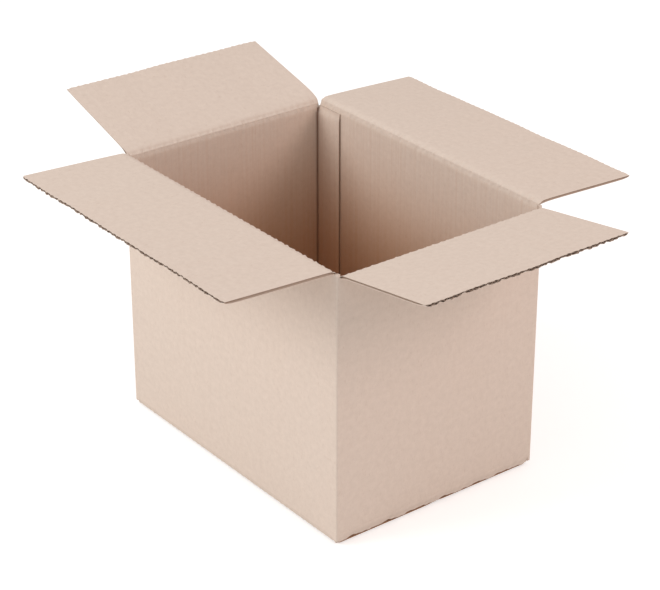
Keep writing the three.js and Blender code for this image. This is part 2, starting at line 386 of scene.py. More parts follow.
@dataclass(frozen=True)
class KraftLiner:
    """Unbleached kraft linerboard, calendered on a paper machine and left uncoated.

    To the eye it is a matt pinkish tan with cloudy formation and short brown fibres. On its inner side the
    flutes behind show as faint bars and streaks, painted as shade of their washboard relief. Its roughness
    and IOR are those of uncoated paper.
    """

    name: str = "kraft_liner"
    pale: str = "#e8d7c9"
    deep: str = "#d2c0b2"
    fibre: str = "#b3927b"
    # Pale colour of the folds' and creases' lines: part rubbed wear, part painted highlight
    fold: str = "#eadbcd"
    # Colour of the painted shade in the creases and fold corners
    crease_shade: str = "#6b3f22"
    # Deep brown of the painted shade down inside the carton, also the colour of the flutes' painted shade
    # bars
    inside: str = "#b6741f"
    cloud_size: float = 5.5 * MM
    fibre_length: float = 4.0 * MM
    fibre_width: float = 1.1 * MM
    streak_width: float = 2.6 * MM
    streak_length: float = 220.0 * MM
    # Strength of the flutes' painted shade bars and streaks
    bar_depth: float = 0.02
    streak_depth: float = 0.11
    streak_noise: tuple[float, float] = (0.42, 0.72)
    fibre_noise: tuple[float, float] = (0.6, 0.8)
    fibre_depth: float = 0.3
    grain_size: float = 0.9 * MM
    grain_height: float = 0.06 * MM
    grain_strength: float = 0.35
    roughness: float = 0.9
    ior: float = 1.5
    specular: float = 0.2

    def build(self) -> bpy.types.Material:
        """Makes the material.

        Returns:
            The new material.
        """
        material = bpy.data.materials.new(self.name)
        material.use_nodes = True
        tree = material.node_tree
        tree.nodes.clear()
        coords = add_node(tree, "ShaderNodeUVMap", {"uv_map": "board"}, {}).outputs["UV"]
        color = self._ribs(tree, coords, self._paper(tree, coords))
        # Painted shade: down inside the carton the inner liner is toned a deep warm brown, more than the
        # loss of light gives; the creases and fold corners are darkened with painted shade, and the folds'
        # pale lines are part rubbed wear and part painted highlight
        for mark, tint in (("deep", self.inside), ("painted_shade", self.crease_shade), ("pale_wear_and_highlight", self.fold)):
            amount = add_node(tree, "ShaderNodeAttribute", {"attribute_name": mark}, {})
            color = add_node(tree, "ShaderNodeMix", {"data_type": "RGBA", MIX_SECOND: linear(tint)},
                             {MIX_SHARE: amount.outputs["Fac"], MIX_FIRST: color}).outputs[MIX_RESULT]
        grain = add_node(tree, "ShaderNodeTexNoise",
                         {"Scale": 1 / self.grain_size, "Detail": 4.0, "Roughness": 0.7},
                         {"Vector": coords})
        bump = add_node(tree, "ShaderNodeBump",
                        {"Strength": self.grain_strength, "Distance": self.grain_height},
                        {"Height": grain.outputs["Fac"]})
        shader = add_node(tree, "ShaderNodeBsdfPrincipled",
                          {"Roughness": self.roughness, "IOR": self.ior,
                           "Specular IOR Level": self.specular},
                          {"Base Color": color, "Normal": bump.outputs[0]})
        add_node(tree, "ShaderNodeOutputMaterial", {}, {"Surface": shader.outputs[0]})
        return material

    def _paper(self, tree: bpy.types.NodeTree, coords: bpy.types.NodeSocket) -> bpy.types.NodeSocket:
        """Mixes the cloudy tan and its fibres.

        Args:
            tree: The material's nodes.
            coords: Place on the board, in metres.

        Returns:
            The paper's colour.
        """
        cloud = add_node(tree, "ShaderNodeTexNoise",
                         {"Scale": 1 / self.cloud_size, "Detail": 6.0, "Roughness": 0.68},
                         {"Vector": coords})
        tone = add_node(tree, "ShaderNodeMix",
                        {"data_type": "RGBA", MIX_FIRST: linear(self.deep), MIX_SECOND: linear(self.pale)},
                        {MIX_SHARE: cloud.outputs["Fac"]})
        # Real fibres are about 0.04 mm wide, finer than a pixel, so they are drawn wide enough to show
        stretch = add_node(tree, "ShaderNodeMapping",
                           {"Scale": (1 / self.fibre_width, 1 / self.fibre_length, 1.0)}, {"Vector": coords})
        fibres = add_node(tree, "ShaderNodeTexNoise",
                          {"Scale": 1.0, "Detail": 3.0, "Distortion": 0.6}, {"Vector": stretch.outputs[0]})
        fleck = add_node(tree, "ShaderNodeMapRange",
                         {"From Min": self.fibre_noise[0], "From Max": self.fibre_noise[1],
                          "To Min": 0.0, "To Max": self.fibre_depth},
                         {"Value": fibres.outputs["Fac"]})
        paper = add_node(tree, "ShaderNodeMix", {"data_type": "RGBA", MIX_SECOND: linear(self.fibre)},
                         {MIX_SHARE: fleck.outputs[0], MIX_FIRST: tone.outputs[MIX_RESULT]})
        return paper.outputs[MIX_RESULT]

    def _ribs(self, tree: bpy.types.NodeTree, coords: bpy.types.NodeSocket,
              color: bpy.types.NodeSocket) -> bpy.types.NodeSocket:
        """Darkens the liner in bars over the flutes' hollows and in fine streaks along them, as painted
        shade of the flutes' washboard relief.

        Args:
            tree: The material's nodes.
            coords: Place on the board, in metres.
            color: The paper's colour.

        Returns:
            The colour with the flutes' painted shade, as strong as the rib_shade mark says.
        """
        split = add_node(tree, "ShaderNodeSeparateXYZ", {}, {0: coords})
        phase = add_node(tree, "ShaderNodeMath", {"operation": "MULTIPLY", 1: 2 * math.pi / BOARD.pitch},
                         {0: split.outputs[0]})
        bars = add_node(tree, "ShaderNodeMath", {"operation": "COSINE"}, {0: phase.outputs[0]})
        bar = add_node(tree, "ShaderNodeMapRange",
                       {"From Min": -1.0, "From Max": 1.0, "To Min": self.bar_depth, "To Max": 0.0},
                       {"Value": bars.outputs[0]})
        stretch = add_node(tree, "ShaderNodeMapping",
                           {"Scale": (1 / self.streak_width, 1 / self.streak_length, 1.0)},
                           {"Vector": coords})
        noise = add_node(tree, "ShaderNodeTexNoise", {"Scale": 1.0, "Detail": 3.0, "Roughness": 0.6},
                         {"Vector": stretch.outputs[0]})
        streak = add_node(tree, "ShaderNodeMapRange",
                          {"From Min": self.streak_noise[0], "From Max": self.streak_noise[1],
                           "To Min": 0.0, "To Max": self.streak_depth},
                          {"Value": noise.outputs["Fac"]})
        both = add_node(tree, "ShaderNodeMath", {"operation": "ADD"},
                        {0: bar.outputs[0], 1: streak.outputs[0]})
        shown = add_node(tree, "ShaderNodeAttribute", {"attribute_name": "rib_shade"}, {})
        amount = add_node(tree, "ShaderNodeMath", {"operation": "MULTIPLY"},
                          {0: both.outputs[0], 1: shown.outputs["Fac"]})
        rib_shade = add_node(tree, "ShaderNodeMix", {"data_type": "RGBA", MIX_SECOND: linear(self.inside)},
                          {MIX_SHARE: amount.outputs[0], MIX_FIRST: color})
        return rib_shade.outputs[MIX_RESULT]


@dataclass(frozen=True)
class FlutingPaper:
    """Recycled fluting medium, pressed into waves between hot rolls and left uncoated.

    To the eye it is a darker, greyer brown than the liners, with a fuzzy torn look at the cut edge.
    """

    name: str = "fluting_paper"
    pale: str = "#cdb8a8"
    deep: str = "#97806f"
    # Deep brown of the painted shade down inside the carton
    inside: str = "#8a5314"
    fuzz_size: float = 1.2 * MM
    fuzz_height: float = 0.1 * MM
    fuzz_strength: float = 0.5
    roughness: float = 0.95
    ior: float = 1.5
    specular: float = 0.15

    def build(self) -> bpy.types.Material:
        """Makes the material.

        Returns:
            The new material.
        """
        material = bpy.data.materials.new(self.name)
        material.use_nodes = True
        tree = material.node_tree
        tree.nodes.clear()
        coords = add_node(tree, "ShaderNodeUVMap", {"uv_map": "board"}, {}).outputs["UV"]
        fuzz = add_node(tree, "ShaderNodeTexNoise",
                        {"Scale": 1 / self.fuzz_size, "Detail": 4.0, "Roughness": 0.7}, {"Vector": coords})
        tone = add_node(tree, "ShaderNodeMix",
                        {"data_type": "RGBA", MIX_FIRST: linear(self.deep), MIX_SECOND: linear(self.pale)},
                        {MIX_SHARE: fuzz.outputs["Fac"]})
        # Painted shade: the medium is toned brown down inside the carton
        amount = add_node(tree, "ShaderNodeAttribute", {"attribute_name": "deep"}, {})
        tone = add_node(tree, "ShaderNodeMix", {"data_type": "RGBA", MIX_SECOND: linear(self.inside)},
                        {MIX_SHARE: amount.outputs["Fac"], MIX_FIRST: tone.outputs[MIX_RESULT]})
        bump = add_node(tree, "ShaderNodeBump",
                        {"Strength": self.fuzz_strength, "Distance": self.fuzz_height},
                        {"Height": fuzz.outputs["Fac"]})
        shader = add_node(tree, "ShaderNodeBsdfPrincipled",
                          {"Roughness": self.roughness, "IOR": self.ior,
                           "Specular IOR Level": self.specular},
                          {"Base Color": tone.outputs[MIX_RESULT], "Normal": bump.outputs[0]})
        add_node(tree, "ShaderNodeOutputMaterial", {}, {"Surface": shader.outputs[0]})
        return material


@dataclass(frozen=True)
class CartonSizes:
    """Main sizes of the carton. The walls and creases are read from the frame.

    Attributes:
        half_length: Distance from the carton's centre to a short wall's outer face.
        half_width: Distance from its centre to a long wall's outer face.
        minor_crease: Height of the short walls' top creases.
        major_crease: Height of the long walls' top creases.
        pivot_offset: How far outside the wall's face a top flap turns.
        setback: Distance from a corner to the flaps' side edges.
        layer: Height of the inner bottom flaps' underside.
        flap_depth: Depth of the top flaps.
        bottom_seam: Room between the outer bottom flaps.
        tab_width: Width of the glue tab.
        slot_depth: How far the top slots run below the minor crease, where less than 0 stops above it.
        joint_slot_depth: The same for the slot beside the tab.
        tab_top_rest: Distance from the minor crease down to the tab's top edge.
        bottom_slot_rest: Height of the bottom slots' ends.
        fold_radius: Outer radius of the vertical folds.
        strip_margin: Distance from the minor crease down to the wall strip's top.
        strip_bottom: Height of the wall strip's lower end.
        fold_gap: Inner radius of the folds.
    """

    half_length: float
    half_width: float
    minor_crease: float
    major_crease: float
    pivot_offset: float = 0.12 * MM
    setback: float = 3.5 * MM
    layer: float = 3.2 * MM
    flap_depth: float = 107.0 * MM
    bottom_seam: float = 0.06 * MM
    tab_width: float = 32.0 * MM
    slot_depth: float = -3.6 * MM
    joint_slot_depth: float = 3.0 * MM
    tab_top_rest: float = 0.6 * MM
    bottom_slot_rest: float = 4.5 * MM
    fold_radius: float = 1.5 * MM
    strip_margin: float = 7.0 * MM
    strip_bottom: float = 12.0 * MM
    fold_gap: float = 0.15 * MM

    @classmethod
    def from_frame(cls) -> "CartonSizes":
        """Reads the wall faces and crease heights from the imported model.

        Returns:
            The carton's sizes.
        """
        low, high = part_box("carton_body")
        heights = {joint["child"]: joint["pos_m"][2] for joint in frame["joints"]}
        return cls(high[0], high[1], heights["right_flap"], heights["front_flap"])

    @property
    def strip_top(self) -> float:
        """Height where the wall strip ends and the flaps' own pieces take over."""
        return self.minor_crease - self.strip_margin


@dataclass
class Side:
    """One wall of the carton and how its top flap stands.

    Attributes:
        name: The wall's name.
        outward: Direction that the wall faces, in plan.
        major: True for a long wall, whose flaps are the outer ones.
        angle: How far its top flap is folded outward from upright, in degrees.
        droop: How far that flap bends on past its crease, in degrees.
        tightness: Share of the droop that is kept to one end of the crease.
        end_crush: Thickness lost at the flap's side edges, which the slotting knife presses.
        seed: Number that picks the wall's irregular curves.
        sizes: Main sizes of the carton.
    """

    name: str
    outward: tuple[int, int]
    major: bool
    angle: float
    droop: float
    tightness: float
    end_crush: float
    seed: int
    sizes: CartonSizes = field(repr=False)

    @property
    def shift(self) -> float:
        """Place of the wall's middle on the long strip, so that each wall has its own paper."""
        return PANELS.index(self.name) * WALL_SHIFT

    @property
    def face(self) -> float:
        """Distance from the carton's centre to this wall's outer face."""
        return self.sizes.half_width if self.major else self.sizes.half_length

    @property
    def half_run(self) -> float:
        """Half the width of this wall's flaps."""
        wall = self.sizes.half_length if self.major else self.sizes.half_width
        return wall - self.sizes.setback

    @property
    def crease(self) -> float:
        """Height of this wall's top crease."""
        return self.sizes.major_crease if self.major else self.sizes.minor_crease

    @property
    def foot(self) -> float:
        """Height of the underside of this wall's bottom flap."""
        return 0.0 if self.major else self.sizes.layer

    def place(self, out: np.ndarray, height: np.ndarray, across: np.ndarray) -> np.ndarray:
        """Turns wall coordinates into the row frame.

        Args:
            out: Distance outward from the wall's outer face.
            height: Height above the base.
            across: Distance along the wall from its middle.

        Returns:
            Points in the row frame.
        """
        outward = np.array([*self.outward, 0.0])
        aside = np.cross(outward, UP)
        return (self.face + out)[..., None] * outward + height[..., None] * UP + across[..., None] * aside


@dataclass(frozen=True)
class CreaseMark:
    """A line along a crease, used both for painted shade and for a pale line of rubbed wear with painted
    highlight.

    Attributes:
        strength: How plain it is, from 0 to 1.
        place: Its distance from the crease, along the flap.
        reach: How far it spreads to each side.
        waves: How uneven it is along the crease, as a share.
    """

    strength: float
    place: float
    reach: float
    waves: Unevenness

    def at(self, distance: np.ndarray, across: np.ndarray, seed: int) -> np.ndarray:
        """Gives the mark for each row and column of a panel."""
        line = hump(distance[:, None] - self.place, self.reach)
        return self.strength * (line * (1.0 + self.waves.at(across, seed))[None, :])


@dataclass
class FoldedPanel:
    """A flap with the strip of wall that it is folded from.

    Places are distances from the crease, below 0 on the wall and above 0 on the flap. A hidden panel is
    one of the bottom flaps, and a reach is the distance over which something fades.

    Attributes:
        side: Wall that the flap belongs to.
        fold: Which way it is folded.
        open_columns: Columns of points in each flute of a top flap.
        hidden_columns: The same for a hidden panel.
        wall_rows: Rows of points on the wall, as shares of the strip's height.
        turn_rows: Count of rows round the crease.
        flap_rows: Rows on the flap, in millimetres from the crease.
        edge_rows: Last rows, in millimetres from the free edge.
        row_gap: Room left between those two sets of rows.
        soft_reach: Length of the board's soft curve after the crease.
        droop_waves: How the droop varies along the crease, as a share.
        tight_reach: Reach of a droop that is kept to one end of the crease.
        sheet_waves: Gentle waves of the flap's broad faces.
        wave_start: Distance from the crease where those waves are full.
        crush: Thickness lost at the crease.
        crush_reach: Its reach.
        flute_crush: Share of the crush that follows the flutes.
        open_ripple: How the crush varies along a top crease, as a share.
        hidden_ripple: The same along a hidden crease.
        bead: How far the inner bottom flaps' folds bulge down.
        bead_reach: Reach of that bulge.
        bead_waves: How the bulge varies along the fold, as a share.
        edge_ease: Length over which the rows shift to fit the uneven edge.
        ragged: How the knife-cut edge varies.
        corner_blunt: How far the free corners are worn back.
        blunt_reach: Reach of that wear.
        pinch: Thickness lost where the knife nips the edge shut.
        pinch_share: Share of the pinch that the whole edge has.
        pinch_waves: How the pinch varies along the edge.
        nick_waves: Its shorter changes.
        pinch_limit: Largest share of the pinch.
        pinch_reach: Its reach from the edge.
        corner_crush: Thickness lost at the free corners.
        corner_end_reach: Reach of that from the flap's side edge.
        corner_edge_reach: Its reach from the free edge.
        end_reach: Reach of the side edges' crush.
        end_start: Distance from the crease where that crush is full.
        most_pinch: Most thickness that the edges may lose.
        crease_wear_and_highlight: Pale line on the crease, part rubbed wear and part painted highlight.
        crease_shade: Painted shade on the inner side, beside the crease.
        rib_start: Place where the wall's full painted shade of the flutes ends.
        open_ribs: How strong the flutes' painted shade is on a top flap's inner liner.
        hidden_ribs: The same on a hidden panel.
        blend_reach: Distance each side of the crease to the two points that blend_line finds.
    """

    side: Side
    fold: Fold
    open_columns: int = 6
    hidden_columns: int = 4
    wall_rows: tuple[float, ...] = (1.0, 0.8, 0.62, 0.46, 0.33, 0.22, 0.13, 0.05)
    turn_rows: int = 9
    flap_rows: tuple[float, ...] = (
        0.4, 1.0, 1.8, 2.8, 4.0, 5.5, 7.5, 10.0, 14.0, 20.0, 28.0, 40.0, 55.0, 70.0, 85.0)
    edge_rows: tuple[float, ...] = (14.0, 8.0, 4.0, 2.0, 1.0, 0.4, 0.0)
    row_gap: float = 3 * MM
    soft_reach: float = 7.0 * MM
    droop_waves: Unevenness = Unevenness(0.25, 90 * MM, 0)
    tight_reach: float = 28 * MM
    sheet_waves: Unevenness = Unevenness(0.35 * MM, 130 * MM, 3)
    wave_start: float = 60 * MM
    crush: float = 1.4 * MM
    crush_reach: float = 2.1 * MM
    flute_crush: float = 0.08
    open_ripple: Unevenness = Unevenness(0.3, 8 * MM, 2)
    hidden_ripple: Unevenness = Unevenness(0.12, 8 * MM, 2)
    bead: float = 2.2 * MM
    bead_reach: float = 3.0 * MM
    bead_waves: Unevenness = Unevenness(0.4, 34 * MM, 7)
    edge_ease: float = 6 * MM
    ragged: Unevenness = Unevenness(0.5 * MM, 7 * MM, 1)
    corner_blunt: float = 0.8 * MM
    blunt_reach: float = 1.2 * MM
    pinch: float = 1.3 * MM
    pinch_share: float = 0.3
    pinch_waves: Unevenness = Unevenness(0.6, 21 * MM, 4)
    nick_waves: Unevenness = Unevenness(0.35, 8 * MM, 6)
    pinch_limit: float = 1.2
    pinch_reach: float = 1.6 * MM
    corner_crush: float = 1.3 * MM
    corner_end_reach: float = 3.5 * MM
    corner_edge_reach: float = 4 * MM
    end_reach: float = 1.5 * MM
    end_start: float = 12 * MM
    most_pinch: float = 2.3 * MM
    # Pale line on the crease: part rubbed wear, part painted highlight
    crease_wear_and_highlight: CreaseMark = CreaseMark(0.12, 0.0, 1.6 * MM, Unevenness(0.5, 9 * MM, 5))
    # Painted shade on the inner side, just below the crease
    crease_shade: CreaseMark = CreaseMark(0.09, -1.4 * MM, 1.3 * MM, Unevenness(0.4, 22 * MM, 8))
    rib_start: float = -1.5 * MM
    open_ribs: float = 0.15
    hidden_ribs: float = 0.5
    blend_reach: float = 2.2 * MM

    @property
    def is_top(self) -> bool:
        """True for a top flap, which is folded outward."""
        return self.fold is Fold.OUTWARD

    @property
    def sense(self) -> float:
        """Gives 1 where the board goes up from the wall to the crease, and -1 where it goes down."""
        return 1.0 if self.is_top else -1.0

    def rows(self) -> tuple[np.ndarray, np.ndarray]:
        """Lists the rows from the wall over the crease to the free edge.

        Returns:
            Signed distance from the crease for each row, and how far round the crease it is.
        """
        sizes = self.side.sizes
        if self.is_top:
            wall = self.side.crease - sizes.strip_top
            depth = sizes.flap_depth
        else:
            wall = sizes.strip_bottom - self.side.foot - BOARD.thickness - sizes.fold_gap
            depth = sizes.half_width - sizes.bottom_seam / 2 - BOARD.thickness - sizes.fold_gap
        before = -np.array(self.wall_rows) * wall
        after = np.array(self.flap_rows) * MM
        edge = depth - np.array(self.edge_rows) * MM
        after = after[after < edge[0] - self.row_gap]
        turn = np.linspace(0.0, 1.0, self.turn_rows)
        distance = np.concatenate([before, np.zeros(len(turn)), after, edge])
        share = np.concatenate([np.zeros(len(before)), turn, np.ones(len(after) + len(edge))])
        return distance, share

    def patch(self) -> Patch:
        """Bends a flat sheet of board over the crease.

        Returns:
            The patch of board in the row frame, at rest.
        """
        side = self.side
        distance, share = self.rows()
        columns = self.open_columns if self.is_top else self.hidden_columns
        across = BOARD.stations(-side.half_run, side.half_run, columns)
        end = self._end_line(distance[-1], across)
        angle = self._angles(distance, share, across)
        far = self._lengths(distance, across, end)
        out, level = self._curve(distance, across, angle, far)
        crushed, pinched = self._crush(distance, across), self._pinch(far, across, end)
        outward = np.array([*side.outward, 0.0])
        inward = -np.cos(angle)[..., None] * outward + np.sin(angle)[..., None] * UP
        outer_loss = pinched if self.is_top else pinched + crushed
        face = side.place(out, level, np.broadcast_to(across, out.shape)) + inward * outer_loss[..., None]
        flap_ribs = self.open_ribs if self.is_top else self.hidden_ribs
        start = side.crease if self.is_top else side.foot
        return Patch(
            face=face,
            inward=inward,
            depth=BOARD.thickness - crushed - pinched,
            across=side.shift - across,
            along=self.sense * distance[:, None] + np.zeros_like(out) + start,
            # Pale crease line: part rubbed wear, part painted highlight
            pale_wear_and_highlight=self.crease_wear_and_highlight.at(distance, across, side.seed),
            # Painted shade just below the crease
            painted_shade=self.crease_shade.at(distance, across, side.seed),
            # Painted shade of the flutes: full on the wall, weaker on the flap
            rib_shade=np.where(distance[:, None] > self.rib_start, flap_ribs, 1.0) * np.ones_like(across),
            # Painted shade inside the carton: full on the bottom panels, none on the top flaps
            deep=inside_painted_shade(np.array(0.0 if self.is_top else side.crease)) * np.ones_like(out),
        )

    def _angles(self, distance: np.ndarray, share: np.ndarray, across: np.ndarray) -> np.ndarray:
        """Gives how far the board is turned from the wall's plane, with the flap's droop.

        Args:
            distance: Distance of each row from the crease.
            share: How far round the crease each row is.
            across: Place of each column along the wall.

        Returns:
            The turn at each point, in radians.
        """
        side = self.side
        target = math.radians(side.angle if self.is_top else RIGHT_ANGLE)
        droop = math.radians(side.droop if self.is_top else 0.0)
        droop = droop * (1 + self.droop_waves.at(across, side.seed))
        droop = droop * (1 - side.tightness * (1 - fade(side.half_run - across, self.tight_reach)))
        final = target + droop * self.soft_reach / distance[-1]
        far = np.maximum(distance, 0.0)[:, None] * np.ones_like(across)
        turning = share[:, None] * (final - droop)[None, :]
        return np.where(far > 0, final - droop * fade(far, self.soft_reach), turning)

    def _lengths(self, distance: np.ndarray, across: np.ndarray, end: np.ndarray) -> np.ndarray:
        """Stretches the last rows to the uneven free edge.

        Args:
            distance: Distance of each row from the crease.
            across: Place of each column along the wall.
            end: Free edge at each column.

        Returns:
            Distance of each point from the crease along the flap, and 0 on the wall.
        """
        far = np.maximum(distance, 0.0)[:, None] * np.ones_like(across)
        near_edge = smooth((far - distance[-1] + self.edge_ease) / self.edge_ease)
        return far + near_edge * (end[None, :] - distance[-1])

    def _curve(self, distance: np.ndarray, across: np.ndarray, angle: np.ndarray,
               far: np.ndarray) -> tuple[np.ndarray, np.ndarray]:
        """Traces the outer face from the wall over the crease to the free edge.

        Args:
            distance: Distance of each row from the crease.
            across: Place of each column along the wall.
            angle: Turn of the board at each point.
            far: Distance of each point from the crease along the flap.

        Returns:
            Distance outward from the wall's outer face and height above the base, at each point.
        """
        side, sizes = self.side, self.side.sizes
        step = np.diff(far, axis=0, prepend=0.0)
        middle = (angle + np.vstack([angle[:1], angle[:-1]])) / 2
        out = np.cumsum(step * np.sin(middle), axis=0) * self.sense
        height = np.cumsum(step * np.cos(middle), axis=0) * self.sense
        height = height + self.sense * np.minimum(distance, 0.0)[:, None]
        if self.is_top:
            waves = self.sheet_waves.at(across, side.seed)[None, :] * smooth(far / self.wave_start)
            radius = -(sizes.pivot_offset + waves)
            out = out + sizes.pivot_offset
            level = side.crease + height
        else:
            radius = np.full_like(out, BOARD.thickness + sizes.fold_gap)
            out = out - BOARD.thickness - sizes.fold_gap
            level = side.foot + BOARD.thickness + sizes.fold_gap + height
            uneven = 1 + self.bead_waves.at(across, side.seed)
            bead = self.bead * (side.foot > 0) * hump(distance, self.bead_reach)
            level = level - bead[:, None] * uneven[None, :]
        return out + radius * np.cos(angle), level - radius * np.sin(angle)

    def _end_line(self, end: float, across: np.ndarray) -> np.ndarray:
        """Gives the free edge, straight on a hidden panel and knife-cut on an open one.

        Args:
            end: Distance of the straight edge from the crease.
            across: Place of each column along the wall.

        Returns:
            Distance of the edge from the crease at each column.
        """
        if not self.is_top:
            return np.full_like(across, end)
        blunt = self.corner_blunt * fade(self.side.half_run - np.abs(across), self.blunt_reach)
        return end + self.ragged.at(across, self.side.seed) - blunt

    def _crush(self, distance: np.ndarray, across: np.ndarray) -> np.ndarray:
        """Gives the thickness lost at the crease, where the flutes collapse unevenly.

        Args:
            distance: Distance of each row from the crease.
            across: Place of each column along the wall.

        Returns:
            Lost thickness at each point.
        """
        ripple = self.open_ripple if self.is_top else self.hidden_ripple
        uneven = 1 + self.flute_crush * BOARD.wave(across) + ripple.at(across, self.side.seed)
        return self.crush * hump(distance, self.crush_reach)[:, None] * uneven[None, :]

    def _pinch(self, far: np.ndarray, across: np.ndarray, end: np.ndarray) -> np.ndarray:
        """Gives the thickness lost at the cut edges, where the knife nips the flutes shut in places.

        Args:
            far: Distance of each point from the crease along the flap.
            across: Place of each column along the wall.
            end: Free edge at each column.

        Returns:
            Lost thickness at each point.
        """
        side = self.side
        to_edge = end[None, :] - far
        to_end = (side.half_run - np.abs(across))[None, :]
        share = self.pinch_share + self.pinch_waves.at(across, side.seed)
        share = np.clip(share + self.nick_waves.at(across, side.seed), 0.0, self.pinch_limit)
        loss = self.pinch * share[None, :] * fade(to_edge, self.pinch_reach)
        corner = np.exp(-to_end / self.corner_end_reach - to_edge / self.corner_edge_reach)
        loss = loss + self.corner_crush * corner
        loss = loss + side.end_crush * fade(to_end, self.end_reach) * smooth(far / self.end_start)
        return np.minimum(loss, self.most_pinch)

    def build(self, materials: list[bpy.types.Material]) -> bpy.types.Object:
        """Makes the panel and, for a bottom flap, hangs it on the carton's body.

        Args:
            materials: Liner and fluting materials.

        Returns:
            The new piece.
        """
        side = self.side
        level = "top" if self.is_top else "bottom"
        maker = MeshMaker(f"{side.name}_{level}_panel")
        maker.add(self.patch(), sheets=True)
        piece = maker.build(materials)
        if not self.is_top:
            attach(piece, "carton")
            return piece
        self.blend_line()
        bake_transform(piece)
        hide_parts(f"{side.name}_top_flap")
        return piece

    def blend_line(self) -> tuple[Vector, Vector]:
        """Finds two points a reach each side of the crease, in the wall and in the flap.

        Returns:
            The start, in the wall, and the end, in the flap.
        """
        side = self.side
        reach = self.blend_reach
        turn = math.radians(side.angle)
        inner = BOARD.thickness / 2
        start = side.place(np.array(-inner), np.array(side.crease - reach), np.array(0.0))
        out = reach * math.sin(turn) - inner * math.cos(turn)
        height = side.crease + reach * math.cos(turn) + inner * math.sin(turn)
        end = side.place(np.array(out), np.array(height), np.array(0.0))
        return Vector(start), Vector(end)


@dataclass
class Stretch:
    """A part of the wall strip in plan.

    Attributes:
        name: Which panel or fold it is.
        inner: Points of the inner face, one per column.
        outer: Points of the outer face, one per column.
        places: Place of each column along the strip.
    """

    name: str
    inner: np.ndarray
    outer: np.ndarray
    places: np.ndarray

    @property
    def share(self) -> np.ndarray:
        """How far along the stretch each column is, from 0 to 1."""
        return (self.places - self.places[0]) / (self.places[-1] - self.places[0])

    @property
    def is_tab(self) -> bool:
        """True for the glue tab."""
        return self.name == "tab"

    @property
    def is_fold(self) -> bool:
        """True for one of the four vertical folds."""
        return self.name.startswith("fold")

    @property
    def is_joint(self) -> bool:
        """True for the fold between the tab and the left wall."""
        return self.name == "fold_0"


